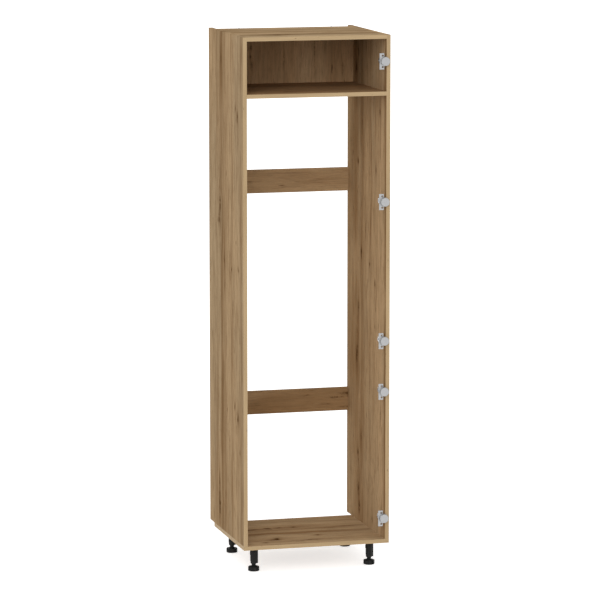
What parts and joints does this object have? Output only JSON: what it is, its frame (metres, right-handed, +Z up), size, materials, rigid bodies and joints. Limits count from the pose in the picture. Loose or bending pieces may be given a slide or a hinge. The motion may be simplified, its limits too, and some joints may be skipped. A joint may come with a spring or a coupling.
{
  "type": "fridge housing unit",
  "caption": "Tall open kitchen cabinet in oak decor for a built-in fridge, with a cupboard above the niche, rear rails, concealed cup hinges on the right side and adjustable legs.",
  "frame": {"origin": "on the floor, under the middle of the object's bounding box, feet at mid adjustment", "axes": "+Z up, -Y out of the open front, +X to the hinge side (right, seen from the front)"},
  "size_m": [0.6, 0.578, 2.1424],
  "materials": {
    "oak_board": "oak decor foil on chipboard, satin",
    "oak_edge": "lighter oak edge strip, satin",
    "beech": "planed beech",
    "zinc": "nickel-plated die-cast zinc",
    "hinge_steel": "nickel-plated pressed steel",
    "screw_steel": "zinc-plated steel",
    "spring_steel": "bright spring steel",
    "black_plastic": "black moulded polypropylene"
  },
  "bodies": {
    "carcass": {"left_side": "oak_board", "right_side": "oak_board", "top_panel": "oak_board", "bottom_panel": "oak_board", "fixed_shelf": "oak_board", "back_panel": "oak_board", "upper_rail": "oak_board", "lower_rail": "oak_board", "left_side_edging": "oak_edge", "right_side_edging": "oak_edge", "top_edging": "oak_edge", "shelf_edging": "oak_edge", "bottom_edging": "oak_edge", "dowels": "beech", "cam_housings": "zinc", "cam_bolts": "screw_steel", "confirmat_screws": "screw_steel", "back_screws": "screw_steel", "plate_screws": "screw_steel", "arm_rivets": "screw_steel", "adjusting_screws": "screw_steel", "closing_springs": "spring_steel", "mounting_plate_1": "zinc", "hinge_arm_1": "hinge_steel", "mounting_plate_2": "zinc", "hinge_arm_2": "hinge_steel", "mounting_plate_3": "zinc", "hinge_arm_3": "hinge_steel", "mounting_plate_4": "zinc", "hinge_arm_4": "hinge_steel", "mounting_plate_5": "zinc", "hinge_arm_5": "hinge_steel", "leg_1": "black_plastic", "leg_2": "black_plastic", "leg_3": "black_plastic", "leg_4": "black_plastic"},
    "outer_link_1": {"outer_link_1": "hinge_steel"},
    "cup_1": {"hinge_cup_1": "hinge_steel", "cup_pins_1": "screw_steel"},
    "inner_link_1": {"inner_link_1": "hinge_steel"},
    "outer_link_2": {"outer_link_2": "hinge_steel"},
    "cup_2": {"hinge_cup_2": "hinge_steel", "cup_pins_2": "screw_steel"},
    "inner_link_2": {"inner_link_2": "hinge_steel"},
    "outer_link_3": {"outer_link_3": "hinge_steel"},
    "cup_3": {"hinge_cup_3": "hinge_steel", "cup_pins_3": "screw_steel"},
    "inner_link_3": {"inner_link_3": "hinge_steel"},
    "outer_link_4": {"outer_link_4": "hinge_steel"},
    "cup_4": {"hinge_cup_4": "hinge_steel", "cup_pins_4": "screw_steel"},
    "inner_link_4": {"inner_link_4": "hinge_steel"},
    "outer_link_5": {"outer_link_5": "hinge_steel"},
    "cup_5": {"hinge_cup_5": "hinge_steel", "cup_pins_5": "screw_steel"},
    "inner_link_5": {"inner_link_5": "hinge_steel"},
    "foot_1": {"foot_1": "black_plastic"},
    "foot_2": {"foot_2": "black_plastic"},
    "foot_3": {"foot_3": "black_plastic"},
    "foot_4": {"foot_4": "black_plastic"}
  },
  "joints": [
    {"name": "outer_link_1_swing", "type": "hinge", "parent": "carcass", "child": "outer_link_1", "pos_m": [0.2698, -0.2624, 0.2015], "axis": [0, 0, 1], "range_deg": [-38, 0]},
    {"name": "cup_1_opening", "type": "hinge", "parent": "outer_link_1", "child": "cup_1", "pos_m": [0.2888, -0.2795, 0.2015], "axis": [0, 0, 1], "range_deg": [0, 133]},
    {"name": "inner_link_1_swing", "type": "hinge", "parent": "carcass", "child": "inner_link_1", "pos_m": [0.2754, -0.2718, 0.2015], "axis": [0, 0, 1], "range_deg": [-45.9, 0]},
    {"name": "outer_link_2_swing", "type": "hinge", "parent": "carcass", "child": "outer_link_2", "pos_m": [0.2698, -0.2624, 0.71625], "axis": [0, 0, 1], "range_deg": [-38, 0]},
    {"name": "cup_2_opening", "type": "hinge", "parent": "outer_link_2", "child": "cup_2", "pos_m": [0.2888, -0.2795, 0.71625], "axis": [0, 0, 1], "range_deg": [0, 133]},
    {"name": "inner_link_2_swing", "type": "hinge", "parent": "carcass", "child": "inner_link_2", "pos_m": [0.2754, -0.2718, 0.71625], "axis": [0, 0, 1], "range_deg": [-45.9, 0]},
    {"name": "outer_link_3_swing", "type": "hinge", "parent": "carcass", "child": "outer_link_3", "pos_m": [0.2698, -0.2624, 0.92075], "axis": [0, 0, 1], "range_deg": [-38, 0]},
    {"name": "cup_3_opening", "type": "hinge", "parent": "outer_link_3", "child": "cup_3", "pos_m": [0.2888, -0.2795, 0.92075], "axis": [0, 0, 1], "range_deg": [0, 133]},
    {"name": "inner_link_3_swing", "type": "hinge", "parent": "carcass", "child": "inner_link_3", "pos_m": [0.2754, -0.2718, 0.92075], "axis": [0, 0, 1], "range_deg": [-45.9, 0]},
    {"name": "outer_link_4_swing", "type": "hinge", "parent": "carcass", "child": "outer_link_4", "pos_m": [0.2698, -0.2624, 1.47812], "axis": [0, 0, 1], "range_deg": [-38, 0]},
    {"name": "cup_4_opening", "type": "hinge", "parent": "outer_link_4", "child": "cup_4", "pos_m": [0.2888, -0.2795, 1.47812], "axis": [0, 0, 1], "range_deg": [0, 133]},
    {"name": "inner_link_4_swing", "type": "hinge", "parent": "carcass", "child": "inner_link_4", "pos_m": [0.2754, -0.2718, 1.47812], "axis": [0, 0, 1], "range_deg": [-45.9, 0]},
    {"name": "outer_link_5_swing", "type": "hinge", "parent": "carcass", "child": "outer_link_5", "pos_m": [0.2698, -0.2624, 2.0355], "axis": [0, 0, 1], "range_deg": [-38, 0]},
    {"name": "cup_5_opening", "type": "hinge", "parent": "outer_link_5", "child": "cup_5", "pos_m": [0.2888, -0.2795, 2.0355], "axis": [0, 0, 1], "range_deg": [0, 133]},
    {"name": "inner_link_5_swing", "type": "hinge", "parent": "carcass", "child": "inner_link_5", "pos_m": [0.2754, -0.2718, 2.0355], "axis": [0, 0, 1], "range_deg": [-45.9, 0]},
    {"name": "foot_1_height", "type": "slide", "parent": "carcass", "child": "foot_1", "axis": [0, 0, -1], "range_m": [-0.008, 0.02]},
    {"name": "foot_2_height", "type": "slide", "parent": "carcass", "child": "foot_2", "axis": [0, 0, -1], "range_m": [-0.008, 0.02]},
    {"name": "foot_3_height", "type": "slide", "parent": "carcass", "child": "foot_3", "axis": [0, 0, -1], "range_m": [-0.008, 0.02]},
    {"name": "foot_4_height", "type": "slide", "parent": "carcass", "child": "foot_4", "axis": [0, 0, -1], "range_m": [-0.008, 0.02]}
  ],
  "couplings": [
    {"joint": "outer_link_1_swing", "follows": "cup_1_opening", "ratio": -0.28571},
    {"joint": "inner_link_1_swing", "follows": "cup_1_opening", "ratio": -0.345},
    {"joint": "outer_link_2_swing", "follows": "cup_2_opening", "ratio": -0.28571},
    {"joint": "inner_link_2_swing", "follows": "cup_2_opening", "ratio": -0.345},
    {"joint": "outer_link_3_swing", "follows": "cup_3_opening", "ratio": -0.28571},
    {"joint": "inner_link_3_swing", "follows": "cup_3_opening", "ratio": -0.345},
    {"joint": "outer_link_4_swing", "follows": "cup_4_opening", "ratio": -0.28571},
    {"joint": "inner_link_4_swing", "follows": "cup_4_opening", "ratio": -0.345},
    {"joint": "outer_link_5_swing", "follows": "cup_5_opening", "ratio": -0.28571},
    {"joint": "inner_link_5_swing", "follows": "cup_5_opening", "ratio": -0.345}
  ]
}
